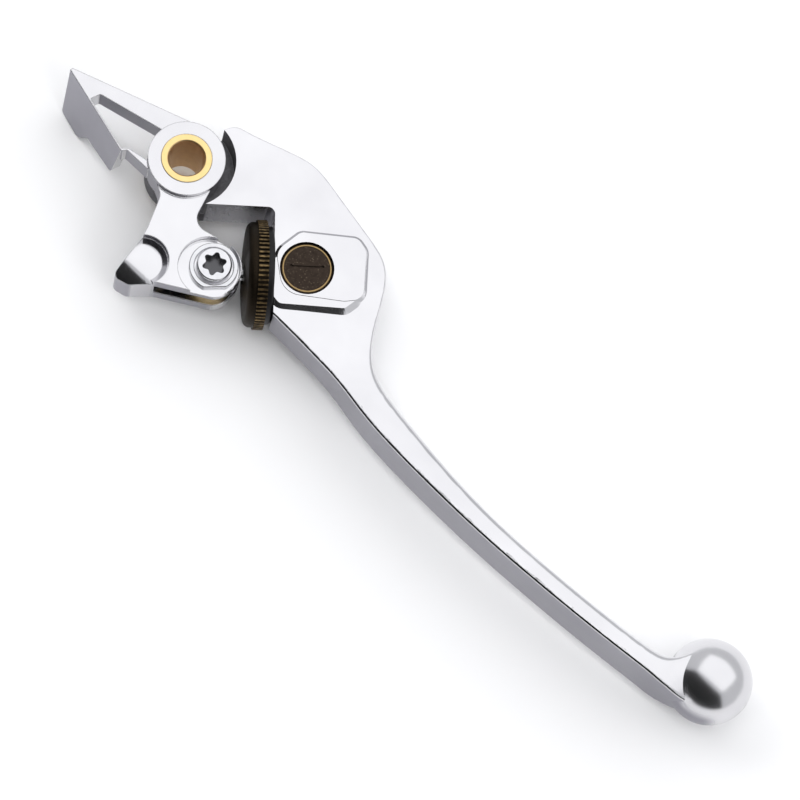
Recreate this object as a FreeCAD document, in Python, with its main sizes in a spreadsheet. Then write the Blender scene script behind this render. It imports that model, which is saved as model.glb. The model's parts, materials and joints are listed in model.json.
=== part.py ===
import FreeCAD, Part
import math
import os

import Sketcher

# Clutch lever with reach adjuster, in millimetres.
# The origin is on the pivot axis at half the blade's thickness. +X runs from the pivot to the
# ball end, +Y points away from the handlebar grip and +Z is up along the pivot bolt.

SIZES = {
    # pivot sleeve, clamped between the jaws of the perch by the pivot bolt
    "sleeve_bore_radius": 4.0,
    "sleeve_radius": 5.5,
    "sleeve_top": 6.6,
    "sleeve_seam": 1.2,
    "sleeve_bottom": -10.2,
    "sleeve_chamfer": 0.25,
    # knuckle casting
    "ring_radius": 8.5,
    "ring_top": 6.5,
    "arm_top": 5.25,
    "arm_bottom": -5.25,
    "lap_face": -0.55,
    "pivot_clearance": 0.05,
    "slot_half": 2.2,
    "spotface_radius": 6.8,
    "spotface_floor": 3.6,
    "underside_floor": -4.0,
    "underside_radius": 4.8,
    "nose_scoop_radius": 5.6,
    "nose_dome_radius": 10.0,
    "nose_crown": 5.05,
    "flange_tilt": 10.0,
    "flange_thickness": 2.2,
    # knuckle pin, its washer and its clip
    "pin_x": 21.2,
    "pin_y": -12.6,
    "pin_radius": 2.5,
    "pin_head_radius": 3.85,
    "pin_head_top": 6.3,
    "pin_head_bottom": 4.2,
    "pin_head_round": 0.5,
    "pin_bottom": -5.9,
    "socket_lobe_reach": 3.25,
    "socket_hollow_reach": 1.85,
    "socket_lobe_round": 0.55,
    "socket_hollow_round": 0.5,
    "socket_depth": 2.4,
    "washer_radius": 5.35,
    "washer_hole_radius": 4.25,
    "washer_top": 4.75,
    "washer_flat": 4.75,
    "washer_chamfer": 0.15,
    "clip_radius": 4.2,
    "clip_thickness": 0.8,
    "clip_groove_radius": 1.9,
    "clip_mouth_inner": 1.6,
    "clip_mouth_outer": 1.85,
    # barrel nut, in the blade
    "nut_x": 35.7,
    "nut_y": 1.3,
    "nut_radius": 5.85,
    "nut_hole_radius": 5.95,
    "nut_top": 6.25,
    "nut_bottom": -6.0,
    "nut_rim_width": 0.28,
    "nut_rim_height": 0.15,
    "nut_chamfer": 0.5,
    "nut_mark_half": 3.4,
    "nut_mark_width": 0.3,
    "nut_mark_offset": 0.45,
    "nut_mark_depth": 0.3,
    "nut_dot_depth": 0.45,
    "nut_dot_radius": 0.39,
    # adjuster, laid out by its distance from the knuckle pin towards the barrel nut
    "trunnion_radius": 4.9,
    "trunnion_half": 2.1,
    "stud_tip_start": 3.3,
    "stud_tip_radius": 1.5,
    "stud_shank_radius": 2.2,
    "stud_thread_radius": 2.95,
    "stud_thread_depth": 0.55,
    "stud_pitch": 1.0,
    "stud_end": 27.0,
    "wheel_dome_start": 6.6,
    "wheel_rim_start": 9.2,
    "wheel_rim_end": 11.4,
    "wheel_radius": 12.0,
    "wheel_face_radius": 11.0,
    "wheel_ridge_depth": 0.4,
    "plate_end": 12.8,
    "plate_radius": 10.7,
    "plate_dimple_circle": 8.0,
    "plate_dimple_radius": 0.9,
    "plate_dimple_depth": 0.5,
    "plate_round": 0.5,
    "fit_gap": 0.02,
    # blade
    "pad_half": 6.5,
    "pad_foot": 5.5,
    "apron_half": 6.4,
    "ear_radius": 8.5,
    "ear_top": -1.0,
    "ear_bottom": -6.5,
    "pocket_radius": 10.9,
    "notch_depth": 13.0,
    "notch_side": 13.8,
    "stud_hole_radius": 3.6,
    "stud_hole_end": 28.5,
    "ball_x": 159.8,
    "ball_radius": 9.35,
    "ridge_radius": 0.9,
    # shim between the ear and the knuckle
    "shim_radius": 7.8,
    "shim_thickness": 0.35,
    # length of a cut that goes right through
    "through": 30.0,
}

RIDGES = 72
DIMPLES = 6
SOCKET_LOBES = 6

# Plan corners of the knuckle arm: x, y and corner radius.
ARM_CORNERS = [
    (-5.0, -6.4, 0.0),
    (1.9, -9.7, 3.0),
    (5.8, -18.3, 16.0),
    (7.3, -29.7, 1.5),
    (11.3, -28.7, 2.4),
    (15.2, -24.5, 6.0),
    (27.5, -16.6, 5.0),
    (27.5, -4.9, 6.0),
    (11.2, -9.3, 3.2),
    (8.5, -1.0, 5.0),
    (5.0, 6.2, 0.0),
]
# Plan corners of the switch hook's web and of its window.
HOOK_CORNERS = [
    (-3.02, 7.95, 0.0),
    (-32.1, -3.1, 0.3),
    (-32.2, -3.75, 0.3),
    (-11.2, -8.85, 0.6),
    (-10.5, -7.8, 0.3),
    (-4.2, -7.6, 0.0),
]
WINDOW_CORNERS = [
    (-24.4, -5.3, 0.3),
    (-23.7, -3.0, 0.8),
    (-7.5, 1.35, 0.0),
    (-6.0, -6.3, 0.0),
    (-10.7, -7.3, 1.2),
    (-11.4, -8.45, 0.8),
]
# Side view of the hook's flange: distance along its rim and drop below it.
FLANGE_CORNERS = [
    (0.0, 0.0, 0.0),
    (2.6, 16.6, 1.2),
    (9.4, 17.0, 1.6),
    (12.0, 12.3, 0.8),
    (14.2, 12.2, 0.6),
    (21.5, 11.4, 1.2),
    (21.5, 0.0, 0.0),
]
HOOK_RIM_START = (-32.2, -3.75)
HOOK_RIM_END = (-11.2, -8.85)
SPOTFACE_CENTRE = (20.7, -13.6)
WASHER_FLAT_ANGLE = -42.0
CLIP_MOUTH_ANGLE = -60.0
NOSE_CENTRE = (9.7, -22.8)
NOSE_TIP_ANGLE = -112.0
NOSE_TIP_SWEEP = 150.0
# Plan corners of the fork's slot, open towards the wheel.
SLOT_CORNERS = [
    (16.2, -30.0, 0.0),
    (30.0, -30.0, 0.0),
    (30.0, -3.0, 0.0),
    (14.2, -3.0, 0.0),
    (14.2, -20.0, 3.0),
]

# Cross sections of the blade: x, back y, front y, half height, front corner length as a share of
# the depth and front corner height as a share of the half height.
BLADE_SECTIONS = [
    (0.8, -11.4, 10.8, 5.8, 0.06, 0.20),
    (1.3, -11.4, 13.5, 5.8, 0.06, 0.20),
    (4.4, -11.4, 14.2, 5.8, 0.06, 0.20),
    (9.0, -11.4, 15.8, 5.8, 0.06, 0.20),
    (16.5, -11.4, 18.8, 5.8, 0.06, 0.20),
    (20.5, -11.4, 19.7, 5.8, 0.06, 0.20),
    (25.0, -11.4, 19.2, 5.8, 0.06, 0.20),
    (34.0, -11.4, 17.5, 5.8, 0.07, 0.22),
    (42.0, -11.4, 16.3, 5.75, 0.08, 0.26),
    (46.2, -11.4, 15.2, 5.65, 0.11, 0.34),
    (49.2, -11.5, 12.8, 5.6, 0.16, 0.44),
    (51.8, -11.6, 9.2, 5.65, 0.24, 0.56),
    (54.6, -11.7, 3.9, 5.8, 0.36, 0.70),
    (58.0, -12.0, -1.0, 6.0, 0.52, 0.84),
    (62.0, -12.6, -4.6, 6.3, 0.68, 0.94),
    (67.5, -13.6, -6.2, 6.5, 0.80, 1.0),
    (76.0, -14.3, -7.3, 6.7, 0.86, 1.0),
    (90.0, -14.5, -8.8, 6.8, 0.88, 1.0),
    (104.0, -14.3, -9.3, 6.9, 0.88, 1.0),
    (120.0, -13.2, -8.4, 7.1, 0.88, 1.0),
    (136.0, -11.7, -6.9, 7.3, 0.88, 1.0),
    (145.5, -10.5, -5.6, 7.3, 0.88, 1.0),
    (149.0, -10.1, -4.8, 7.3, 0.88, 1.0),
    (151.0, -9.95, -3.0, 7.2, 0.88, 1.0),
    (152.6, -9.8, 0.2, 7.0, 0.88, 1.0),
    (153.8, -9.6, 4.4, 6.8, 0.88, 1.0),
    (154.8, -9.4, 6.6, 6.4, 0.88, 1.0),
    (158.0, -8.9, 7.0, 5.2, 0.88, 1.0),
    (162.0, -7.0, 6.0, 3.0, 0.88, 1.0),
]
# How far the raised pad's sides lean from upright, and its plan corners round the barrel nut.
# The apron is the pad's wide slope on the grip side.
PAD_SLOPE = 42.0
APRON_SLOPE = 60.0
APRON_CORNERS = [
    (27.4, -3.0, 0.5),
    (30.0, 6.0, 3.0),
    (41.0, 11.5, 4.0),
    (49.8, 4.6, 3.0),
    (49.2, 0.0, 3.0),
    (37.6, -10.4, 3.0),
    (33.0, -9.8, 0.5),
]
PAD_CORNERS = [
    (27.4, -1.2, 4.5),
    (28.2, 6.6, 3.0),
    (38.4, 15.2, 3.0),
    (42.2, 14.4, 3.5),
    (50.2, 5.2, 3.5),
    (47.2, 1.2, 5.0),
    (36.0, -7.6, 5.5),
]

doc = FreeCAD.newDocument("clutch_lever")
sheet = doc.addObject("Spreadsheet::Sheet", "sizes")
for row, (alias, value) in enumerate(SIZES.items(), start=1):
    sheet.set(f"A{row}", alias)
    sheet.set(f"B{row}", str(value))
    sheet.setAlias(f"B{row}", alias)
doc.recompute()

parts = []


def size(alias):
    """The number in the sheet's cell of that name."""
    return float(sheet.get(alias))


PIN = FreeCAD.Vector(size("pin_x"), size("pin_y"), 0)
NUT = FreeCAD.Vector(size("nut_x"), size("nut_y"), 0)
STUD_DIRECTION = (NUT - PIN).normalize()
STUD_SIDE = FreeCAD.Vector(-STUD_DIRECTION.y, STUD_DIRECTION.x, 0)
STUD_ANGLE = math.degrees(math.atan2(STUD_DIRECTION.y, STUD_DIRECTION.x))


def beside_stud(along, side):
    """Plan point at a distance along the stud from the knuckle pin, and to its side."""
    point = PIN + STUD_DIRECTION * along + STUD_SIDE * side
    return (point.x, point.y)


# ---------------------------------------------------------------- modelling helpers

def new_body(label):
    body = doc.addObject("PartDesign::Body", label)
    body.Label = label
    parts.append(body)
    return body


def origin_plane(body, role):
    return next(item for item in body.Origin.OriginFeatures if item.Role == role)


def new_sketch(body, name, role="XY_Plane", height=None, placement=None):
    """A sketch on one of the body's origin planes, at a height worked out from the sheet."""
    sketch = body.newObject("Sketcher::SketchObject", f"{body.Name}_{name}")
    sketch.AttachmentSupport = [(origin_plane(body, role), "")]
    sketch.MapMode = "FlatFace"
    if placement is not None:
        sketch.AttachmentOffset = placement
    if height is not None:
        sketch.setExpression("AttachmentOffset.Base.z", height_expression(height))
    return sketch


def height_expression(text):
    """Adds the sheet's name before each of its aliases in an expression."""
    words = text.split(" ")
    return " ".join(f"{sheet.Name}.{word}" if word in SIZES else word for word in words)


def add_circle(sketch, x, y, radius):
    """A circle whose radius follows an expression of the sheet's aliases."""
    index = sketch.addGeometry(Part.Circle(FreeCAD.Vector(x, y, 0), FreeCAD.Vector(0, 0, 1), 1.0))
    constraint = sketch.addConstraint(Sketcher.Constraint("Radius", index, 1.0))
    sketch.setExpression(f"Constraints[{constraint}]", height_expression(radius))
    return index


def corner_arc(before, corner, after, radius):
    """Tangent points and middle of the arc that rounds a corner."""
    into = (before - corner).normalize()
    out = (after - corner).normalize()
    half = into.getAngle(out) / 2
    reach = radius / math.tan(half)
    bisector = (into + out).normalize()
    centre = corner + bisector * (radius / math.sin(half))
    return corner + into * reach, centre - bisector * radius, corner + out * reach


def add_outline(sketch, corners):
    """A closed outline of straight runs; a corner with a radius gets a tangent arc."""
    points = [FreeCAD.Vector(x, y, 0) for x, y, radius in corners]
    count = len(points)
    stations = []
    for index, (x, y, radius) in enumerate(corners):
        following = points[(index + 1) % count]
        if radius > 0:
            stations.append(corner_arc(points[index - 1], points[index], following, radius))
        else:
            stations.append((points[index], None, points[index]))
    for index in range(count):
        start, middle, end = stations[index]
        if middle is not None:
            sketch.addGeometry(Part.Arc(start, middle, end))
        following = stations[(index + 1) % count][0]
        if (following - end).Length > 1e-4:
            sketch.addGeometry(Part.LineSegment(end, following))


def add_pad(body, sketch, length):
    pad = body.newObject("PartDesign::Pad", f"{sketch.Name}_pad")
    pad.Profile = sketch
    pad.setExpression("Length", height_expression(length))
    sketch.Visibility = False
    doc.recompute()
    return pad


def add_pocket(body, sketch, length, midplane=False):
    """A pocket along the sketch's own Z, or both ways; it has to take some material away."""
    before = body.Shape.Volume
    pocket = body.newObject("PartDesign::Pocket", f"{sketch.Name}_pocket")
    pocket.Profile = sketch
    pocket.setExpression("Length", height_expression(length))
    pocket.Reversed = not midplane
    pocket.Midplane = midplane
    doc.recompute()
    if not body.Shape.Volume < before - 1e-6:
        raise RuntimeError(f"{pocket.Name} cuts nothing")
    return pocket


def add_revolution(body, sketch, feature="Revolution", axis="V_Axis", angle=360.0):
    before = body.Shape.Volume if feature == "Groove" else 0.0
    turned = body.newObject(f"PartDesign::{feature}", f"{sketch.Name}_turned")
    turned.Profile = sketch
    turned.ReferenceAxis = (sketch, [axis])
    turned.Angle = angle
    turned.Midplane = angle < 360.0
    doc.recompute()
    if feature == "Groove" and not body.Shape.Volume < before - 1e-6:
        raise RuntimeError(f"{turned.Name} cuts nothing")
    return turned


def add_edge_finish(body, kind, amount, edges):
    """Rounds or breaks the named edges of the body as it stands."""
    base = body.Tip
    finish = body.newObject(f"PartDesign::{kind}", f"{body.Name}_{kind.lower()}_{len(body.Group)}")
    finish.Base = (base, edges)
    if kind == "Fillet":
        finish.Radius = amount
    else:
        finish.Size = amount
    doc.recompute()
    if not finish.isValid() or finish.Shape.isNull():
        raise RuntimeError(f"{finish.Name} failed")
    return finish


def edges_where(body, test):
    """Names of the body's edges that pass a test."""
    return [f"Edge{index}" for index, edge in enumerate(body.Shape.Edges, start=1) if test(edge)]


def flat_at(edge, height):
    """True for an edge that lies at one height."""
    return abs(edge.BoundBox.ZMin - height) < 1e-4 and abs(edge.BoundBox.ZMax - height) < 1e-4


def place_on_stud(body):
    """Turns a body so that its own Z runs along the stud from the knuckle pin."""
    side = FreeCAD.Vector(0, 0, 1)
    rotation = FreeCAD.Rotation(side, STUD_DIRECTION.cross(side), STUD_DIRECTION, "ZXY")
    body.Placement = FreeCAD.Placement(PIN, rotation)


# ---------------------------------------------------------------- pivot sleeve

def make_bush(label, top, bottom, chamfered_end):
    """A plain brass sleeve between two heights, its outer mouth chamfered."""
    body = new_body(label)
    outline = new_sketch(body, "ring", height=bottom)
    add_circle(outline, 0, 0, "sleeve_radius")
    add_circle(outline, 0, 0, "sleeve_bore_radius")
    add_pad(body, outline, f"{top} - {bottom}")
    mouth = size(chamfered_end)
    bore = size("sleeve_bore_radius")
    rims = edges_where(body, lambda edge: flat_at(edge, mouth) and edge.Curve.Radius < bore + 0.1)
    add_edge_finish(body, "Chamfer", size("sleeve_chamfer"), rims)
    return body


def make_shim():
    """Thin bronze washer between the blade's ear and the knuckle."""
    body = new_body("pivot_shim")
    ring = new_sketch(body, "ring", height="ear_top + 0.03")
    add_circle(ring, 0, 0, "shim_radius")
    add_circle(ring, 0, 0, "sleeve_radius + pivot_clearance")
    add_pad(body, ring, "shim_thickness")
    return body


# ---------------------------------------------------------------- knuckle

def make_knuckle():
    """The short arm that pushes the piston: pivot ring, hook for the switch, nose and fork."""
    body = new_body("knuckle")
    ring = new_sketch(body, "ring", height="lap_face")
    add_circle(ring, 0, 0, "ring_radius")
    add_pad(body, ring, "ring_top - lap_face")
    arm = new_sketch(body, "arm", height="arm_bottom")
    add_outline(arm, ARM_CORNERS)
    add_pad(body, arm, "arm_top - arm_bottom")
    cut_lap(body)
    add_hook(body)
    shape_nose(body)
    cut_fork(body)
    bore = new_sketch(body, "bore", height="arm_bottom - 1")
    add_circle(bore, 0, 0, "sleeve_radius + pivot_clearance")
    add_pocket(body, bore, "through")
    return body


def cut_lap(body):
    """Clears the lower half round the pivot, where the blade's ear turns."""
    lap = new_sketch(body, "lap", height="arm_bottom - 1")
    reach = size("ear_radius") + 0.6
    side = size("notch_side") - 0.5
    corner = beside_stud(-4.0, side)
    far = beside_stud(14.0, side)
    tangent = tangent_point(corner, reach)
    lap_corners = [corner + (0.0,), far + (0.0,), (far[0], 12.0, 0.0), (-12.0, 12.0, 0.0)]
    beyond = past(corner, tangent)
    add_outline(lap, lap_corners + [(-12.0, beyond[1], 0.0), beyond + (0.0,)])
    add_pocket(body, lap, "lap_face - arm_bottom + 1")


def tangent_point(corner, radius):
    """Where the line from a corner touches a circle about the pivot, on the grip side."""
    distance = math.hypot(corner[0], corner[1])
    angle = math.atan2(corner[1], corner[0]) - math.acos(radius / distance)
    return (radius * math.cos(angle), radius * math.sin(angle))


def past(start, end):
    """A point well beyond the end of a run, on the same line."""
    return tuple(far + (far - near) * 2.2 for near, far in zip(start, end))


def add_hook(body):
    """Thin web with a triangular window and a tall flange that works the switch."""
    web = new_sketch(body, "hook_web", height="lap_face")
    add_outline(web, HOOK_CORNERS)
    add_pad(body, web, "arm_top - lap_face")
    flange = new_sketch(body, "hook_flange", placement=flange_placement())
    add_outline(flange, FLANGE_CORNERS)
    add_pad(body, flange, "flange_thickness")
    window = new_sketch(body, "hook_window", height="arm_bottom - 10")
    add_outline(window, WINDOW_CORNERS)
    add_outline(window, beyond_hook())
    add_pocket(body, window, "through")
    ring = new_sketch(body, "ring_again", height="lap_face")
    add_circle(ring, 0, 0, "ring_radius")
    add_pad(body, ring, "ring_top - lap_face")


def beyond_hook():
    """Plan region in front of the hook's straight front edge."""
    inner = FreeCAD.Vector(HOOK_CORNERS[0][0], HOOK_CORNERS[0][1], 0)
    tip = FreeCAD.Vector(HOOK_CORNERS[1][0], HOOK_CORNERS[1][1], 0)
    along = (tip - inner).normalize()
    out = FreeCAD.Vector(along.y, -along.x, 0)
    corners = [inner + along * 8, tip + along * 4, tip + along * 4 + out * 6, inner + along * 8 + out * 6]
    return [(corner.x, corner.y, 0.0) for corner in corners]


def flange_placement():
    """Plane through the hook's rim, tilted outwards as it drops."""
    start = FreeCAD.Vector(HOOK_RIM_START[0], HOOK_RIM_START[1], size("arm_top"))
    end = FreeCAD.Vector(HOOK_RIM_END[0], HOOK_RIM_END[1], size("arm_top"))
    along = (end - start).normalize()
    outward = FreeCAD.Vector(along.y, -along.x, 0)
    tilt = math.radians(size("flange_tilt"))
    down = outward * math.sin(tilt) - FreeCAD.Vector(0, 0, math.cos(tilt))
    inward = along.cross(down)
    return FreeCAD.Placement(start, FreeCAD.Rotation(along, down, inward, "ZXY"))


def shape_nose(body):
    """Domes the nose's top face; the scoop's rim is an arc on the arm's flat top."""
    for name, reach, angle, turn in (
        ("nose_scoop", size("nose_scoop_radius"), 360.0, 0.0),
        ("nose_tip", size("nose_scoop_radius") + 4.0, NOSE_TIP_SWEEP, NOSE_TIP_ANGLE),
    ):
        centre = FreeCAD.Vector(NOSE_CENTRE[0], NOSE_CENTRE[1], 0)
        spin = FreeCAD.Rotation(FreeCAD.Vector(0, 0, 1), turn)
        upright = spin * FreeCAD.Rotation(FreeCAD.Vector(1, 0, 0), 90)
        profile = new_sketch(body, name, placement=FreeCAD.Placement(centre, upright))
        crown = size("nose_crown")
        dome = size("nose_dome_radius")
        rim = crown - dome + math.sqrt(dome ** 2 - reach ** 2)
        half_angle = math.asin(reach / dome) / 2
        middle = (dome * math.sin(half_angle), crown - dome + dome * math.cos(half_angle))
        lid = size("arm_top") + 1.0
        corners = [FreeCAD.Vector(x, y, 0) for x, y in ((0, crown), (reach, rim), (reach, lid), (0, lid))]
        profile.addGeometry(Part.Arc(corners[0], FreeCAD.Vector(middle[0], middle[1], 0), corners[1]))
        for index in (1, 2, 3):
            profile.addGeometry(Part.LineSegment(corners[index], corners[(index + 1) % 4]))
        add_revolution(body, profile, "Groove", "V_Axis", angle)


def cut_fork(body):
    """Slot for the trunnion, pin hole, and the spot faces under washer and clip."""
    slot = new_sketch(body, "slot", height="0 - slot_half")
    add_outline(slot, SLOT_CORNERS)
    add_pocket(body, slot, "slot_half * 2")
    hole = new_sketch(body, "pin_hole", height="arm_bottom - 1")
    add_circle(hole, PIN.x, PIN.y, "pin_radius + fit_gap")
    add_pocket(body, hole, "through")
    upper = new_sketch(body, "upper_spotface", height="spotface_floor")
    add_circle(upper, SPOTFACE_CENTRE[0], SPOTFACE_CENTRE[1], "spotface_radius")
    add_pocket(body, upper, "through")
    lower = new_sketch(body, "lower_spotface", height="arm_bottom - 1")
    add_circle(lower, PIN.x, PIN.y, "underside_radius")
    add_pocket(body, lower, "underside_floor - arm_bottom + 1")


# ---------------------------------------------------------------- knuckle pin

def make_pin():
    """Shoulder pin with a round head, a six-lobed socket and a groove for its clip."""
    body = new_body("knuckle_pin")
    shank = new_sketch(body, "shank", height="pin_bottom")
    add_circle(shank, PIN.x, PIN.y, "pin_radius")
    add_pad(body, shank, "pin_head_bottom - pin_bottom")
    neck = new_sketch(body, "neck", height="spotface_floor + 0.02")
    add_circle(neck, PIN.x, PIN.y, "pin_head_radius")
    add_pad(body, neck, "pin_head_top - spotface_floor - 0.02")
    top = size("pin_head_top")
    rims = edges_where(body, lambda edge: flat_at(edge, top))
    add_edge_finish(body, "Fillet", size("pin_head_round"), rims)
    socket = new_sketch(body, "socket", height="pin_head_top - socket_depth")
    add_outline(socket, socket_corners())
    add_pocket(body, socket, "socket_depth + 1")
    groove = new_sketch(body, "clip_groove", height="underside_floor - clip_thickness - 0.1")
    add_circle(groove, PIN.x, PIN.y, "pin_radius + 1")
    add_circle(groove, PIN.x, PIN.y, "clip_groove_radius")
    add_pocket(body, groove, "clip_thickness + 0.1")
    return body


def socket_corners():
    """Six round lobes, each between two hollows."""
    corners = []
    for step in range(2 * SOCKET_LOBES):
        kind = "hollow" if step % 2 else "lobe"
        x, y = turn_about_pin(size(f"socket_{kind}_reach"), 0.0, 180.0 / SOCKET_LOBES * step)
        corners.append((x, y, size(f"socket_{kind}_round")))
    return corners


def make_washer():
    """Flat washer round the pin's head, with one straight side."""
    body = new_body("pin_washer")
    ring = new_sketch(body, "ring", height="spotface_floor + 0.02")
    add_circle(ring, PIN.x, PIN.y, "washer_radius")
    add_circle(ring, PIN.x, PIN.y, "washer_hole_radius")
    add_pad(body, ring, "washer_top - spotface_floor - 0.02")
    flat = new_sketch(body, "flat", height="spotface_floor - 1")
    inner = size("washer_flat")
    outer = inner + size("washer_radius")
    corners = [(inner, -outer), (outer, -outer), (outer, outer), (inner, outer)]
    add_outline(flat, [turn_about_pin(x, y, WASHER_FLAT_ANGLE) + (0.0,) for x, y in corners])
    add_pocket(body, flat, "through")
    top = size("washer_top")
    rims = edges_where(body, lambda edge: flat_at(edge, top))
    add_edge_finish(body, "Chamfer", size("washer_chamfer"), rims)
    return body


def turn_about_pin(x, y, degrees):
    turned = FreeCAD.Rotation(FreeCAD.Vector(0, 0, 1), degrees).multVec(FreeCAD.Vector(x, y, 0)) + PIN
    return (turned.x, turned.y)


def make_clip():
    """Spring clip in the pin's groove, open on one side."""
    body = new_body("pin_clip")
    ring = new_sketch(body, "ring", height="underside_floor - clip_thickness - 0.05")
    add_circle(ring, PIN.x, PIN.y, "clip_radius")
    add_circle(ring, PIN.x, PIN.y, "clip_groove_radius + fit_gap")
    add_pad(body, ring, "clip_thickness")
    mouth = new_sketch(body, "mouth", height="underside_floor - clip_thickness - 1")
    inner = size("clip_mouth_inner")
    outer = size("clip_mouth_outer")
    reach = size("clip_radius") + 1
    corners = [(0.0, -inner), (reach, -outer), (reach, outer), (0.0, inner)]
    add_outline(mouth, [turn_about_pin(x, y, CLIP_MOUTH_ANGLE) + (0.0,) for x, y in corners])
    add_pocket(body, mouth, "clip_thickness + 2")
    return body


# ---------------------------------------------------------------- adjuster

def make_trunnion():
    """Brass barrel that turns on the knuckle pin and holds the stud's tip in a cup."""
    body = new_body("stud_trunnion")
    ring = new_sketch(body, "barrel", height="0 - trunnion_half")
    add_circle(ring, 0, 0, "trunnion_radius")
    add_circle(ring, 0, 0, "pin_radius + pivot_clearance")
    add_pad(body, ring, "trunnion_half * 2")
    cup = new_sketch(body, "cup", role="YZ_Plane", height="stud_tip_start - 0.05")
    add_circle(cup, 0, 0, "stud_tip_radius + pivot_clearance")
    add_pocket(body, cup, "through")
    body.Placement = FreeCAD.Placement(PIN, FreeCAD.Rotation(FreeCAD.Vector(0, 0, 1), STUD_ANGLE))
    return body


def add_profile(sketch, points):
    """Closed half section from radius and distance along the stud."""
    vectors = [FreeCAD.Vector(radius, along, 0) for radius, along in points]
    for index, start in enumerate(vectors):
        sketch.addGeometry(Part.LineSegment(start, vectors[(index + 1) % len(vectors)]))


def make_stud():
    """Threaded stud: plain tip, shank through the wheel, thread through the barrel nut."""
    body = new_body("adjuster_stud")
    profile = new_sketch(body, "profile", role="XZ_Plane")
    thread = size("stud_thread_radius")
    root = thread - size("stud_thread_depth")
    pitch = size("stud_pitch")
    start = size("plate_end") + 0.4
    shoulder = size("wheel_dome_start") + 0.2
    tip = size("stud_tip_radius")
    shank = size("stud_shank_radius")
    points = [(0.0, size("stud_tip_start")), (tip, size("stud_tip_start")), (tip, shoulder)]
    points += [(shank, shoulder), (shank, size("plate_end") + 0.05), (root, start)]
    turns = int((size("stud_end") - start - 0.5) / pitch)
    for turn in range(turns):
        along = start + turn * pitch
        points += [(thread, along + 0.4 * pitch), (thread, along + 0.6 * pitch), (root, along + pitch)]
    points += [(root - 0.4, size("stud_end")), (0.0, size("stud_end"))]
    add_profile(profile, points)
    add_revolution(body, profile)
    place_on_stud(body)
    return body


def make_wheel():
    """Knurled adjuster wheel, domed towards the knuckle."""
    body = new_body("adjuster_wheel")
    dome = new_sketch(body, "dome", role="XZ_Plane")
    hole = size("stud_shank_radius") + size("fit_gap")
    face = size("wheel_face_radius")
    apex = size("wheel_dome_start")
    rim = size("wheel_rim_start")
    edge = face + 0.5
    outline = ((hole, apex), (hole, rim + 0.5), (edge, rim + 0.5), (edge, rim - 0.7), (edge - 1.4, rim - 2.1))
    corners = [FreeCAD.Vector(radius, along, 0) for radius, along in outline]
    for start, end in zip(corners[:3], corners[1:4]):
        dome.addGeometry(Part.LineSegment(start, end))
    dome.addGeometry(Part.Arc(corners[3], FreeCAD.Vector(edge - 0.41, rim - 1.69, 0), corners[4]))
    dome.addGeometry(Part.Arc(corners[4], FreeCAD.Vector(face / 2 + 1, apex + 0.1, 0), corners[0]))
    add_revolution(body, dome)
    knurl = new_sketch(body, "knurl", height="wheel_rim_start")
    add_outline(knurl, ridge_corners())
    add_circle(knurl, 0, 0, "stud_shank_radius + fit_gap")
    add_pad(body, knurl, "wheel_rim_end - wheel_rim_start")
    place_on_stud(body)
    return body


def ridge_corners():
    """Plan of the rim: straight-sided ridges with flat crests."""
    crest = size("wheel_radius")
    root = crest - size("wheel_ridge_depth")
    step = 2 * math.pi / RIDGES
    corners = []
    for ridge in range(RIDGES):
        for share, radius in ((0.0, root), (0.22, root), (0.42, crest), (0.80, crest)):
            angle = (ridge + share) * step
            corners.append((radius * math.cos(angle), radius * math.sin(angle), 0.0))
    return corners


def make_index_plate():
    """Black plate behind the wheel, with a ring of dimples in its back."""
    body = new_body("index_plate")
    disc = new_sketch(body, "disc", height="wheel_rim_end + fit_gap")
    add_circle(disc, 0, 0, "plate_radius")
    add_circle(disc, 0, 0, "stud_shank_radius + fit_gap")
    add_pad(body, disc, "plate_end - wheel_rim_end - fit_gap")
    back = size("plate_end")
    outer = size("plate_radius") - 1
    rims = edges_where(body, lambda edge: flat_at(edge, back) and edge.Curve.Radius > outer)
    add_edge_finish(body, "Fillet", size("plate_round"), rims)
    for index in range(DIMPLES):
        angle = 2 * math.pi * index / DIMPLES
        dimple = new_sketch(body, f"dimple_{index}", height="plate_end - plate_dimple_depth")
        circle = size("plate_dimple_circle")
        add_circle(dimple, circle * math.cos(angle), circle * math.sin(angle), "plate_dimple_radius")
        add_pocket(body, dimple, "through")
    place_on_stud(body)
    return body


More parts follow.
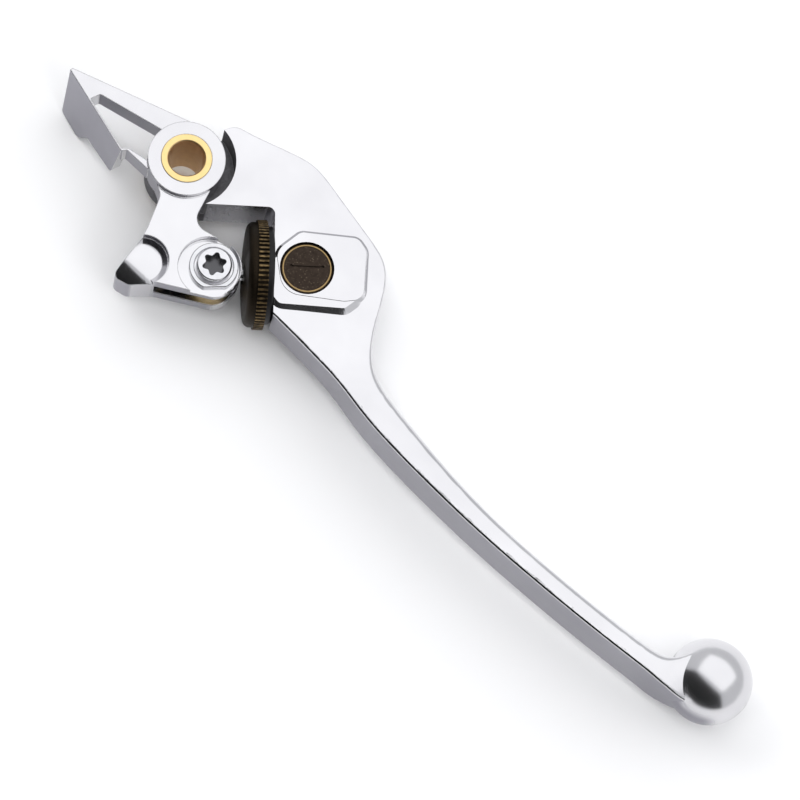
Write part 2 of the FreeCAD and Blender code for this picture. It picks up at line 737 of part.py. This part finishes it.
def make_barrel_nut():
    """Cross-drilled bronze barrel that swivels in the blade."""
    body = new_body("barrel_nut")
    barrel = new_sketch(body, "barrel", height="nut_bottom")
    add_circle(barrel, 0, 0, "nut_radius")
    add_pad(body, barrel, "nut_top - nut_bottom")
    top = size("nut_top")
    bottom = size("nut_bottom")
    rims = edges_where(body, lambda edge: flat_at(edge, top) or flat_at(edge, bottom))
    add_edge_finish(body, "Chamfer", size("nut_chamfer"), rims)
    face = new_sketch(body, "face", height="nut_top - nut_rim_height")
    add_circle(face, 0, 0, "nut_radius - nut_chamfer - nut_rim_width")
    add_pocket(body, face, "through")
    mark = new_sketch(body, "mark", height="nut_top - nut_rim_height - nut_mark_depth")
    half = size("nut_mark_half")
    width = size("nut_mark_width") / 2
    side = size("nut_mark_offset")
    low = side - width
    high = side + width
    add_outline(mark, [(-half, low, 0.0), (half, low, 0.0), (half, high, 0.0), (-half, high, 0.0)])
    add_pocket(body, mark, "through")
    for index, end in enumerate((-half, half)):
        dot = new_sketch(body, f"mark_end_{index}", height="nut_top - nut_rim_height - nut_dot_depth")
        add_circle(dot, end, side, "nut_dot_radius")
        add_pocket(body, dot, "through")
    hole = new_sketch(body, "thread_hole", role="YZ_Plane")
    add_circle(hole, 0, 0, "stud_thread_radius + 0.2")
    add_pocket(body, hole, "through * 2", midplane=True)
    body.Placement = FreeCAD.Placement(NUT, FreeCAD.Rotation(FreeCAD.Vector(0, 0, 1), STUD_ANGLE))
    return body


# ---------------------------------------------------------------- blade

def section_spans(station, side):
    """Control points of half a D-shaped section: its flat back, its ridge, then its top and front.

    Side 1 is the upper half and side -1 the lower.
    """
    x, back, front, half, corner_depth, corner_height = station
    shoulder = front - (front - back) * corner_depth
    waist = half * (1 - corner_height)
    ridge = size("ridge_radius")
    wall = [(back, 0.0), (back, half - ridge)]
    crest = [(back, half - ridge), (back, half), (back + ridge, half)]
    top = [
        (back + ridge, half), ((back + shoulder) / 2, half), (shoulder, half),
        (front, half), (front, (half + waist) / 2), (front, waist * 0.5), (front, 0.0),
    ]
    return [[FreeCAD.Vector(x, y, z * side) for y, z in span] for span in (wall, crest, top)]


def clamped_knots(pole_count, degree):
    """Evenly spaced knots that reach the first and last control points."""
    knots = list(range(pole_count - degree + 1))
    multiplicities = [degree + 1] + [1] * (len(knots) - 2) + [degree + 1]
    return knots, multiplicities


def blade_strip(side, span):
    """One long strip of the blade's outer surface: its back wall, its ridge or its top and front."""
    net = [section_spans(station, side)[span] for station in BLADE_SECTIONS]
    length_degree = 3
    round_degree = min(3, len(net[0]) - 1)
    along_knots, along_counts = clamped_knots(len(net), length_degree)
    round_knots, round_counts = clamped_knots(len(net[0]), round_degree)
    surface = Part.BSplineSurface()
    surface.buildFromPolesMultsKnots(
        net, along_counts, round_counts, along_knots, round_knots, False, False,
        length_degree, round_degree)
    return surface.toShape()


def end_cap(strips, x):
    """Flat face inside the rim that the strips have at one end."""
    rim = []
    for strip in strips:
        for edge in strip.Edges:
            if abs(edge.BoundBox.XMin - x) + abs(edge.BoundBox.XMax - x) < 1e-3:
                rim.append(edge)
    return Part.Face(Part.Wire(Part.__sortEdges__(rim)))


def blade_blank_shape():
    """The blade's smooth outer form: long strips round it and a cap at each end."""
    strips = [blade_strip(side, span) for side in (1, -1) for span in (0, 1, 2)]
    caps = [end_cap(strips, BLADE_SECTIONS[0][0]), end_cap(strips, BLADE_SECTIONS[-1][0])]
    shell = Part.makeShell(strips + caps)
    shell.sewShape()
    return Part.Solid(shell)


def make_blade():
    """The finger blade: pocketed head, raised pad, D-section grip and ball end."""
    blank = doc.addObject("Part::Feature", "blade_blank")
    blank.Shape = blade_blank_shape()
    body = new_body("lever_blade")
    body.BaseFeature = blank
    doc.recompute()
    ball = body.newObject("PartDesign::AdditiveSphere", "blade_ball")
    ball.AttachmentSupport = [(origin_plane(body, "XY_Plane"), "")]
    ball.MapMode = "FlatFace"
    ball.setExpression("AttachmentOffset.Base.x", f"{sheet.Name}.ball_x")
    ball.setExpression("Radius", f"{sheet.Name}.ball_radius")
    doc.recompute()
    for name, corners, slope in (("pad", PAD_CORNERS, PAD_SLOPE), ("apron", APRON_CORNERS, APRON_SLOPE)):
        for level in ("pad_foot", "0 - pad_foot"):
            outline = new_sketch(body, f"{name}_{len(body.Group)}", height=level)
            add_outline(outline, corners)
            raised = add_pad(body, outline, f"{name}_half - pad_foot")
            raised.Reversed = level != "pad_foot"
            raised.TaperAngle = -slope
            doc.recompute()
    cut_head(body)
    ear = new_sketch(body, "ear", height="ear_bottom")
    add_circle(ear, 0, 0, "ear_radius")
    add_pad(body, ear, "ear_top - ear_bottom")
    cut_holes(body)
    return body


def cut_head(body):
    """Notch for the wheel, and the pocket in which the knuckle's ring turns."""
    notch = new_sketch(body, "notch", height="0 - through")
    side = size("notch_side")
    depth = size("notch_depth")
    turn = beside_stud(-3.0, side)
    tangent = tangent_point(turn, size("ear_radius"))
    beyond = past(turn, tangent)
    inner = beside_stud(depth, side)
    outer = beside_stud(depth, -40.0)
    corners = [inner + (1.6,), turn + (3.0,), beyond + (0.0,), (-30.0, -40.0, 0.0), outer + (0.0,)]
    add_outline(notch, corners)
    add_pocket(body, notch, "through * 2")
    pocket = new_sketch(body, "pocket", height="ear_top")
    add_circle(pocket, 0, 0, "pocket_radius")
    add_pocket(body, pocket, "through")


def cut_holes(body):
    """Pivot bore, the barrel nut's bore and the passage for the stud."""
    bore = new_sketch(body, "bore", height="ear_bottom - 1")
    add_circle(bore, 0, 0, "sleeve_radius + pivot_clearance")
    add_pocket(body, bore, "through")
    nut_bore = new_sketch(body, "nut_bore", height="0 - through")
    add_circle(nut_bore, NUT.x, NUT.y, "nut_hole_radius")
    add_pocket(body, nut_bore, "through * 2")
    side = FreeCAD.Vector(0, 0, 1)
    rotation = FreeCAD.Rotation(side, STUD_DIRECTION.cross(side), STUD_DIRECTION, "ZXY")
    start = PIN + STUD_DIRECTION * (size("notch_depth") - 1)
    passage = new_sketch(body, "stud_passage", placement=FreeCAD.Placement(start, rotation))
    add_circle(passage, 0, 0, "stud_hole_radius")
    add_pocket(body, passage, "stud_hole_end - notch_depth + 1")


# ---------------------------------------------------------------- build and write

def check_document():
    """Stops if anything in the document failed or a sub-part isn't a sound solid."""
    doc.recompute()
    for item in doc.Objects:
        if "Invalid" in item.State or "Error" in item.State:
            raise RuntimeError(f"{item.Name} failed: {item.State}")
    for part in parts:
        shape = part.Shape
        if shape.isNull() or not shape.isValid() or not shape.Solids:
            raise RuntimeError(f"{part.Label} has no sound solid")


def main():
    make_bush("upper_pivot_bush", "sleeve_top", "sleeve_seam", "sleeve_top")
    make_bush("lower_pivot_bush", "sleeve_seam", "sleeve_bottom", "sleeve_bottom")
    make_shim()
    make_knuckle()
    make_pin()
    make_washer()
    make_clip()
    make_trunnion()
    make_stud()
    make_wheel()
    make_index_plate()
    make_barrel_nut()
    make_blade()
    check_document()
    os.makedirs("parts", exist_ok=True)
    for part in parts:
        part.Shape.exportStep(os.path.join("parts", f"{part.Label}.step"))
        print(f"{part.Label}: {part.Shape.Volume:.1f} mm3, {part.Shape.BoundBox}")


main()
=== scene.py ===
import json
import math

import bmesh
import bpy
from mathutils import Matrix, Vector


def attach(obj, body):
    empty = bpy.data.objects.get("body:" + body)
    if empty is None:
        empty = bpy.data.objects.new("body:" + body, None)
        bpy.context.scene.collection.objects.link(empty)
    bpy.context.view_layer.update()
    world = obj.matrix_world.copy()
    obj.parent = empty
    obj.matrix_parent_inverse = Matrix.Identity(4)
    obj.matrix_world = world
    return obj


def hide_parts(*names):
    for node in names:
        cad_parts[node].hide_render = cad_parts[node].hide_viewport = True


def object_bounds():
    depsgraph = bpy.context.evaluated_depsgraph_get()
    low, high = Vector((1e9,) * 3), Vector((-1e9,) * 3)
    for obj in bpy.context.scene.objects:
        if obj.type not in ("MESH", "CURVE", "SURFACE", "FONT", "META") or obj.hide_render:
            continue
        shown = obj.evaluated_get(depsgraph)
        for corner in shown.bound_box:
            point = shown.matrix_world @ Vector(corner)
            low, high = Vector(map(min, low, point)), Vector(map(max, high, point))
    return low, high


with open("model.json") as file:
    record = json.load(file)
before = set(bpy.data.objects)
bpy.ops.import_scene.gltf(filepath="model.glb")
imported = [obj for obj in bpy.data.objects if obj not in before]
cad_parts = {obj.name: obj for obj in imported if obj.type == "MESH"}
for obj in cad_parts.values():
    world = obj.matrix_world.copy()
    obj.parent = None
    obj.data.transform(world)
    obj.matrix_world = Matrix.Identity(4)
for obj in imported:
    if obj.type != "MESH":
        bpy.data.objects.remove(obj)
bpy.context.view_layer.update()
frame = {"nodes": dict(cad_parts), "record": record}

MM = 0.001

# ---------------------------------------------------------------- shader helpers


class Field:
    """A number that changes over a surface, with arithmetic."""

    def __init__(self, finish, socket):
        self.finish = finish
        self.socket = socket

    def combine(self, operation, first, second):
        return self.finish.add("ShaderNodeMath", {"operation": operation}, {0: first, 1: second}).field()

    def __add__(self, other):
        return self.combine("ADD", self, other)

    def __radd__(self, other):
        return self.combine("ADD", other, self)

    def __sub__(self, other):
        return self.combine("SUBTRACT", self, other)

    def __rsub__(self, other):
        return self.combine("SUBTRACT", other, self)

    def __mul__(self, other):
        return self.combine("MULTIPLY", self, other)

    def __rmul__(self, other):
        return self.combine("MULTIPLY", other, self)

    def __pow__(self, other):
        return self.combine("POWER", self, other)

    def size(self):
        return self.combine("ABSOLUTE", self, 0.0)

    def sine(self):
        return self.combine("SINE", self, 0.0)


class Added:
    """A node just added to a finish."""

    def __init__(self, finish, node):
        self.finish = finish
        self.node = node

    def field(self, output=0):
        return Field(self.finish, self.node.outputs[output])

    def socket(self, output=0):
        return self.node.outputs[output]


class Finish:
    """One procedural material."""

    def __init__(self, name, metallic):
        self.material = bpy.data.materials.new(name)
        self.material.use_nodes = True
        self.tree = self.material.node_tree
        self.tree.nodes.clear()
        self.shader = self.tree.nodes.new("ShaderNodeBsdfPrincipled")
        output = self.tree.nodes.new("ShaderNodeOutputMaterial")
        self.tree.links.new(self.shader.outputs[0], output.inputs["Surface"])
        self.shader.inputs["Metallic"].default_value = metallic
        self.place = self.add("ShaderNodeTexCoord").socket("Object")
        place = self.add("ShaderNodeSeparateXYZ", inputs={0: self.place})
        self.x, self.y, self.z = place.field(0), place.field(1), place.field(2)
        self.facing = self.add("ShaderNodeNewGeometry").socket("Normal")
        facing = self.add("ShaderNodeSeparateXYZ", inputs={0: self.facing})
        self.facing_y, self.facing_z = facing.field(1), facing.field(2)

    def add(self, kind, settings=None, inputs=None):
        node = self.tree.nodes.new(kind)
        for key, value in (settings or {}).items():
            setattr(node, key, value)
        for key, value in (inputs or {}).items():
            self.feed(node.inputs[key], value)
        return Added(self, node)

    def feed(self, socket, value):
        """Links a field or an output to a socket, or sets the socket's own value."""
        if isinstance(value, Field):
            value = value.socket
        if isinstance(value, bpy.types.NodeSocket):
            self.tree.links.new(value, socket)
        elif socket.type == "RGBA":
            socket.default_value = (*value, 1.0)
        else:
            socket.default_value = value

    def noise(self, scale, detail=3.0, roughness=0.5, stretch=None):
        place = self.place
        if stretch is not None:
            place = self.add("ShaderNodeMapping", inputs={"Vector": place, "Scale": stretch}).socket()
        settings = {"Vector": place, "Scale": scale, "Detail": detail, "Roughness": roughness}
        return self.add("ShaderNodeTexNoise", inputs=settings).field(0)

    def step(self, value, low, high):
        """0 below low, 1 above high, and smooth between; low may be the larger of the two."""
        settings = {"interpolation_type": "SMOOTHSTEP", "clamp": True}
        inputs = {"Value": value, "From Min": low, "From Max": high, "To Min": 0.0, "To Max": 1.0}
        return self.add("ShaderNodeMapRange", settings, inputs).field()

    def blend(self, share, first, second):
        """Colour that goes from the first to the second as the share goes from 0 to 1."""
        inputs = {"Factor": share, "A": first, "B": second}
        node = self.add("ShaderNodeMix", {"data_type": "RGBA"}).node
        for socket in node.inputs:
            if socket.enabled and socket.name in inputs:
                self.feed(socket, inputs[socket.name])
        return next(socket for socket in node.outputs if socket.enabled)

    def from_axis(self, x, y):
        """Distance from an upright axis, in metres."""
        across = self.x - x
        along = self.y - y
        return (across * across + along * along) ** 0.5

    def rounded(self, radius):
        """The surface's direction, as if its edges had this radius."""
        return self.add("ShaderNodeBevel", {"samples": 6}, {"Radius": radius}).socket()

    # Used for real rubbed wear on the black steel and for a painted highlight along the alloy's edges.
    def sharp_edge_mask(self, radius, low=0.02, high=0.25):
        """1 along sharp edges and 0 on open faces."""
        inputs = {0: self.rounded(radius), 1: self.facing}
        likeness = self.add("ShaderNodeVectorMath", {"operation": "DOT_PRODUCT"}, inputs).field("Value")
        return self.step(1.0 - likeness, low, high)

    def bump(self, height, strength, distance, edge_radius=0.0):
        """Relief, on top of softly rounded edges where an edge radius is given."""
        inputs = {"Strength": strength, "Distance": distance, "Height": height}
        if edge_radius > 0:
            inputs["Normal"] = self.rounded(edge_radius)
        relief = self.add("ShaderNodeBump", inputs=inputs).socket()
        self.feed(self.shader.inputs["Normal"], relief)

    def colour(self, value):
        self.feed(self.shader.inputs["Base Color"], value)

    def roughness(self, value):
        self.feed(self.shader.inputs["Roughness"], value)


# ---------------------------------------------------------------- finishes

joints = {joint["name"]: joint for joint in frame["record"]["behaviour"]["joints"]}
PIN_X, PIN_Y, _ = joints["stud_swing"]["pos_m"]
NUT_X, NUT_Y, _ = joints["nut_swivel"]["pos_m"]
STUD_LENGTH = math.hypot(NUT_X - PIN_X, NUT_Y - PIN_Y)
STUD_X, STUD_Y = (NUT_X - PIN_X) / STUD_LENGTH, (NUT_Y - PIN_Y) / STUD_LENGTH

BORE_RADIUS = 4.0 * MM
POCKET_RADIUS = 10.9 * MM
HEAD_TOP = 5.8 * MM
WHEEL_RADIUS = 12.0 * MM
RIM_OUTER = 5.45 * MM
RIM_INNER = 5.07 * MM
SOCKET_RADIUS = 3.25 * MM
PIN_TOP = 6.3 * MM
NECK_END = 146.0 * MM
BALL_START = 153.0 * MM

# Rings of the turned brass, in radians per metre, and how far buffing and scratches are drawn out.
TURNING_RINGS = 60000.0
BUFFING_STRETCH = (1.0, 5.0, 1.0)
SCRATCH_STRETCH = (1.0, 8.0, 1.0)
MERGE_DISTANCE = 0.002 * MM

# How far a face turns towards the grip, and how upright it is, before it counts as a satin wall that is
# also painted darker as shade.
GRIP_WALL = (-0.55, -0.85)
UPRIGHT = (0.55, 0.20)
# Lighter alloy tone painted along sharp edges as a highlight.
EDGE_HIGHLIGHT_ALLOY = (0.86, 0.86, 0.87)


def alloy_layers(finish):
    """Colour and roughness of buffed cast aluminium, satin on the walls that face the grip, where the
    colour is also painted darker as shade.
    """
    cloud = finish.noise(60.0, 3.0, 0.55)
    swirl = finish.noise(420.0, 2.0, 0.5, BUFFING_STRETCH)
    upright = finish.step(finish.facing_z.size(), *UPRIGHT)
    # Walls facing the grip: real satin roughness, plus a darker colour that is painted shade.
    grip_wall_satin_and_shade = finish.step(finish.facing_y, *GRIP_WALL) * upright
    bright = finish.blend(cloud, (0.62, 0.615, 0.635), (0.80, 0.795, 0.81))
    # Darker copy of the alloy tone: painted shade for the walls that face the grip.
    grip_wall_painted_shade = finish.blend(cloud, (0.25, 0.245, 0.28), (0.38, 0.375, 0.41))
    shade = finish.blend(grip_wall_satin_and_shade, bright, grip_wall_painted_shade)
    roughness = 0.09 + cloud * 0.06 + grip_wall_satin_and_shade * 0.22 + swirl * 0.03
    return shade, roughness, swirl


def polished_alloy():
    """Buffed aluminium casting of the knuckle."""
    finish = Finish("polished_alloy", metallic=1.0)
    grain = finish.noise(2600.0, 2.0, 0.6)
    shade, roughness, swirl = alloy_layers(finish)
    edge_wear_and_highlight = finish.sharp_edge_mask(0.35 * MM)
    # Sharp edges painted lighter: a painted highlight.
    finish.colour(finish.blend(edge_wear_and_highlight * 0.35, shade, EDGE_HIGHLIGHT_ALLOY))
    finish.roughness(roughness)
    finish.bump(grain * 0.5 + swirl * 0.5, 0.06, 0.04 * MM, 0.4 * MM)
    return finish.material


def polished_alloy_blade():
    """The blade's alloy: its ball softer, and its pocket left rough from the mould, with painted shade
    darkening the pocket.
    """
    finish = Finish("polished_alloy_blade", metallic=1.0)
    grain = finish.noise(2600.0, 2.0, 0.6)
    pits = finish.noise(1500.0, 4.0, 0.7)
    shade, roughness, swirl = alloy_layers(finish)
    radius = finish.from_axis(0.0, 0.0)
    in_pocket = finish.step(radius, POCKET_RADIUS + 0.25 * MM, POCKET_RADIUS + 0.05 * MM)
    raw_and_shaded_pocket = in_pocket * finish.step(finish.z, HEAD_TOP - 0.05 * MM, HEAD_TOP - 0.20 * MM)
    # Dark pitted tone in the pocket: painted shade of the recess over the rough casting's uneven tone.
    rough_cast_and_painted_shade = finish.blend(pits, (0.06, 0.06, 0.065), (0.30, 0.295, 0.31))
    edge_wear_and_highlight = finish.sharp_edge_mask(0.35 * MM)
    shade = finish.blend(raw_and_shaded_pocket, shade, rough_cast_and_painted_shade)
    ball_end = finish.step(finish.x, NECK_END, BALL_START)
    # Sharp edges painted lighter: a painted highlight.
    finish.colour(finish.blend(edge_wear_and_highlight * 0.35, shade, EDGE_HIGHLIGHT_ALLOY))
    finish.roughness(roughness + raw_and_shaded_pocket * 0.4 + ball_end * 0.08)
    finish.bump(grain * 0.3 + swirl * 0.3 + pits * raw_and_shaded_pocket * 2.0, 0.1, 0.05 * MM)
    return finish.material


def turned_brass():
    """Machined brass with fine turning rings, browner inside its bore."""
    finish = Finish("turned_brass", metallic=1.0)
    radius = finish.from_axis(0.0, 0.0)
    rings = (radius * TURNING_RINGS).sine()
    stain = finish.noise(700.0, 4.0, 0.6)
    inside = finish.step(radius, BORE_RADIUS + 0.30 * MM, BORE_RADIUS + 0.05 * MM)
    face = finish.blend(stain, (0.86, 0.62, 0.25), (0.96, 0.76, 0.38))
    bore = finish.blend(stain, (0.70, 0.47, 0.25), (0.95, 0.70, 0.42))
    finish.colour(finish.blend(inside, face, bore))
    finish.roughness(0.24 + stain * 0.16 + inside * 0.1)
    finish.bump(rings * 0.5 + stain * 0.5, 0.08, 0.03 * MM, 0.15 * MM)
    return finish.material


def aged_wheel():
    """Dark chemical bronze, rubbed back to brass on the knurl's crests."""
    finish = Finish("aged_bronze_wheel", metallic=1.0)
    across = finish.x - PIN_X
    along = finish.y - PIN_Y
    side = along * STUD_X - across * STUD_Y
    radius = (side * side + finish.z * finish.z) ** 0.5
    patches = finish.noise(900.0, 4.0, 0.65)
    grit = finish.noise(3200.0, 2.0, 0.6)
    crest = finish.step(radius + patches * (0.4 * MM), WHEEL_RADIUS + 0.10 * MM, WHEEL_RADIUS + 0.32 * MM)
    dark = finish.blend(grit, (0.010, 0.008, 0.006), (0.040, 0.030, 0.020))
    finish.colour(finish.blend(crest, dark, (0.30, 0.21, 0.10)))
    finish.roughness(0.42 + patches * 0.2 - crest * 0.15)
    finish.bump(grit, 0.12, 0.05 * MM, 0.12 * MM)
    return finish.material


def aged_nut():
    """Mottled bronze face inside a rubbed golden rim."""
    finish = Finish("aged_bronze_nut", metallic=1.0)
    radius = finish.from_axis(NUT_X, NUT_Y)
    patches = finish.noise(1300.0, 4.0, 0.7)
    specks = finish.noise(3600.0, 1.0, 0.5)
    inner_edge = finish.step(radius, RIM_INNER - 0.05 * MM, RIM_INNER + 0.03 * MM)
    outer_edge = finish.step(radius, RIM_OUTER + 0.07 * MM, RIM_OUTER - 0.03 * MM)
    rim = inner_edge * outer_edge * finish.step(finish.facing_z, 0.5, 0.9)
    fleck = finish.step(specks, 0.66, 0.72)
    face = finish.blend(patches, (0.012, 0.009, 0.007), (0.095, 0.070, 0.055))
    face = finish.blend(fleck, face, (0.26, 0.21, 0.15))
    finish.colour(finish.blend(rim * (0.35 + patches), face, (0.42, 0.29, 0.13)))
    finish.roughness(0.48 + patches * 0.2 - rim * 0.25)
    finish.bump(patches + specks * 0.4, 0.25, 0.06 * MM, 0.1 * MM)
    return finish.material


def bright_steel():
    """Zinc-plated steel, with painted shade darkening the bottom of the pin's socket."""
    finish = Finish("bright_steel", metallic=1.0)
    radius = finish.from_axis(PIN_X, PIN_Y)
    haze = finish.noise(500.0, 3.0, 0.6)
    scratches = finish.noise(1500.0, 2.0, 0.5, SCRATCH_STRETCH)
    in_socket = finish.step(radius, SOCKET_RADIUS + 0.05 * MM, SOCKET_RADIUS - 0.05 * MM)
    socket_painted_shade = in_socket * finish.step(finish.z, PIN_TOP - 0.2 * MM, PIN_TOP - 0.7 * MM)
    shade = finish.blend(haze, (0.62, 0.62, 0.64), (0.80, 0.80, 0.82))
    # The bottom of the socket is painted dark as shade.
    finish.colour(finish.blend(socket_painted_shade, shade, (0.10, 0.10, 0.105)))
    finish.roughness(0.14 + haze * 0.12 + scratches * 0.06)
    finish.bump(haze * 0.4 + scratches * 0.6, 0.06, 0.03 * MM, 0.12 * MM)
    return finish.material


def black_steel():
    """Black-oxide steel with a faint oily bloom."""
    finish = Finish("black_steel", metallic=0.8)
    bloom = finish.noise(700.0, 3.0, 0.6)
    edge_wear_and_highlight = finish.sharp_edge_mask(0.12 * MM)
    shade = finish.blend(bloom, (0.012, 0.012, 0.014), (0.035, 0.034, 0.034))
    finish.colour(finish.blend(edge_wear_and_highlight * 0.5, shade, (0.16, 0.15, 0.145)))
    finish.roughness(0.32 + bloom * 0.25)
    finish.bump(bloom, 0.1, 0.03 * MM, 0.12 * MM)
    return finish.material


def matt(name, scale, dark, light, roughness):
    """Matt surface for the studio, a little uneven in tone."""
    finish = Finish(name, metallic=0.0)
    tone = finish.noise(scale, 2.0, 0.5)
    finish.colour(finish.blend(tone, dark, light))
    finish.roughness(roughness)
    return finish.material


# ---------------------------------------------------------------- pieces


def smoothed_copy(node):
    """A merged copy of a CAD node's mesh that keeps the CAD surface's own normals."""
    mesh = frame["nodes"][node].data.copy()
    mesh.materials.clear()
    kept = mesh.attributes.new("surface_normal", "FLOAT_VECTOR", "CORNER")
    for item, corner in zip(kept.data, mesh.corner_normals):
        item.vector = corner.vector
    surface = bmesh.new()
    surface.from_mesh(mesh)
    bmesh.ops.remove_doubles(surface, verts=surface.verts, dist=MERGE_DISTANCE)
    bmesh.ops.dissolve_degenerate(surface, dist=MERGE_DISTANCE / 2, edges=surface.edges)
    surface.to_mesh(mesh)
    surface.free()
    mesh.shade_smooth()
    mesh.normals_split_custom_set([tuple(item.vector) for item in mesh.attributes["surface_normal"].data])
    mesh.attributes.remove(mesh.attributes["surface_normal"])
    piece = bpy.data.objects.new(f"{node}_skin", mesh)
    bpy.context.scene.collection.objects.link(piece)
    return piece


def dress(node, material):
    """Shows a smoothed copy of a node in its finish, riding on the node's body."""
    record = frame["record"]
    body = next(name for name, members in record["behaviour"]["bodies"].items() if node in members)
    piece = smoothed_copy(node)
    piece.data.materials.append(material)
    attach(piece, body)
    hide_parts(node)


brass = turned_brass()
steel = bright_steel()
finishes = {
    "lever_blade": polished_alloy_blade(),
    "knuckle": polished_alloy(),
    "upper_pivot_bush": brass,
    "lower_pivot_bush": brass,
    "pivot_shim": brass,
    "stud_trunnion": brass,
    "knuckle_pin": steel,
    "pin_washer": steel,
    "pin_clip": steel,
    "adjuster_stud": steel,
    "adjuster_wheel": aged_wheel(),
    "index_plate": black_steel(),
    "barrel_nut": aged_nut(),
}
for part_name, part_finish in finishes.items():
    dress(part_name, part_finish)

# ---------------------------------------------------------------- studio

FLOOR_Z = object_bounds()[0].z - 0.1 * MM
FLOOR_REACH = 3.0
FLAG_Y = -0.62
FLAG_LEFT, FLAG_RIGHT = -1.6, 1.8
FLAG_LOW, FLAG_HIGH = 0.03, 1.55
FILL_SIZE, FILL_POWER = 0.9, 7.0
FILL_PLACES = {
    "left_fill": (-1.2, -0.2, 1.3),
    "right_fill": (1.3, -0.3, 1.3),
    "near_fill": (0.1, -0.5, 1.4),
}
LEVER_MIDDLE = (0.07, 0.0, 0.0)
CAMERA_PLACE = (0.149643, -0.226925, 0.743827)
CAMERA_LOOK = (-0.10233, 0.28632, -0.95265)
CAMERA_UP = (-0.69631, 0.66332, 0.27415)


def stage_plane(name, corners, material):
    """A flat studio surface through four corners."""
    surface = bmesh.new()
    surface.faces.new([surface.verts.new(corner) for corner in corners])
    mesh = bpy.data.meshes.new(name)
    surface.to_mesh(mesh)
    surface.free()
    mesh.materials.append(material)
    plane = bpy.data.objects.new(name, mesh)
    bpy.context.scene.collection.objects.link(plane)
    return plane


def soft_box(name, place, target, width, height, power):
    """A rectangular lamp at one point that shines at another."""
    lamp = bpy.data.lights.new(name, "AREA")
    lamp.shape = "RECTANGLE"
    lamp.size = width
    lamp.size_y = height
    lamp.energy = power
    holder = bpy.data.objects.new(name, lamp)
    holder.location = place
    holder.rotation_euler = (Vector(target) - holder.location).to_track_quat("-Z", "Y").to_euler()
    bpy.context.scene.collection.objects.link(holder)
    return holder


def studio_air():
    """Pale light from all round."""
    world = bpy.data.worlds.new("studio_air")
    world.use_nodes = True
    background = world.node_tree.nodes["Background"]
    background.inputs["Color"].default_value = (0.93, 0.94, 0.97, 1.0)
    background.inputs["Strength"].default_value = 0.72
    return world


def studio_camera():
    """A long lens above the lever, turned so that the blade runs down to the right."""
    lens = bpy.data.cameras.new("studio_camera")
    lens.lens = 162.0
    lens.sensor_width = 36.0
    lens.clip_start = 0.01
    camera = bpy.data.objects.new("studio_camera", lens)
    bpy.context.scene.collection.objects.link(camera)
    look = Vector(CAMERA_LOOK).normalized()
    right = look.cross(Vector(CAMERA_UP)).normalized()
    up = right.cross(look)
    turn = Matrix((right, up, -look)).transposed().to_4x4()
    camera.matrix_world = Matrix.Translation(CAMERA_PLACE) @ turn
    return camera


stage_plane(
    "studio_floor",
    [(x * FLOOR_REACH, y * FLOOR_REACH, FLOOR_Z) for x, y in ((-1, -1), (1, -1), (1, 1), (-1, 1))],
    matt("pale_board", 2.0, (0.90, 0.90, 0.905), (0.93, 0.93, 0.935), 0.9))
flag = stage_plane(
    "black_flag",
    [(FLAG_LEFT, FLAG_Y, FLAG_LOW), (FLAG_RIGHT, FLAG_Y, FLAG_LOW),
     (FLAG_RIGHT, FLAG_Y, FLAG_HIGH), (FLAG_LEFT, FLAG_Y, FLAG_HIGH)],
    matt("black_cloth", 300.0, (0.004, 0.004, 0.004), (0.008, 0.008, 0.008), 1.0))
flag.visible_camera = False

soft_box("overhead_box", (0.05, 0.95, 1.9), (0.07, 0.5, 0.0), 4.4, 3.0, 25.0)
for fill_name, fill_place in FILL_PLACES.items():
    fill = soft_box(fill_name, fill_place, LEVER_MIDDLE, FILL_SIZE, FILL_SIZE, FILL_POWER)
    fill.visible_glossy = False

bpy.context.scene.world = studio_air()
bpy.context.scene.camera = studio_camera()
bpy.context.scene.view_settings.view_transform = "Standard"
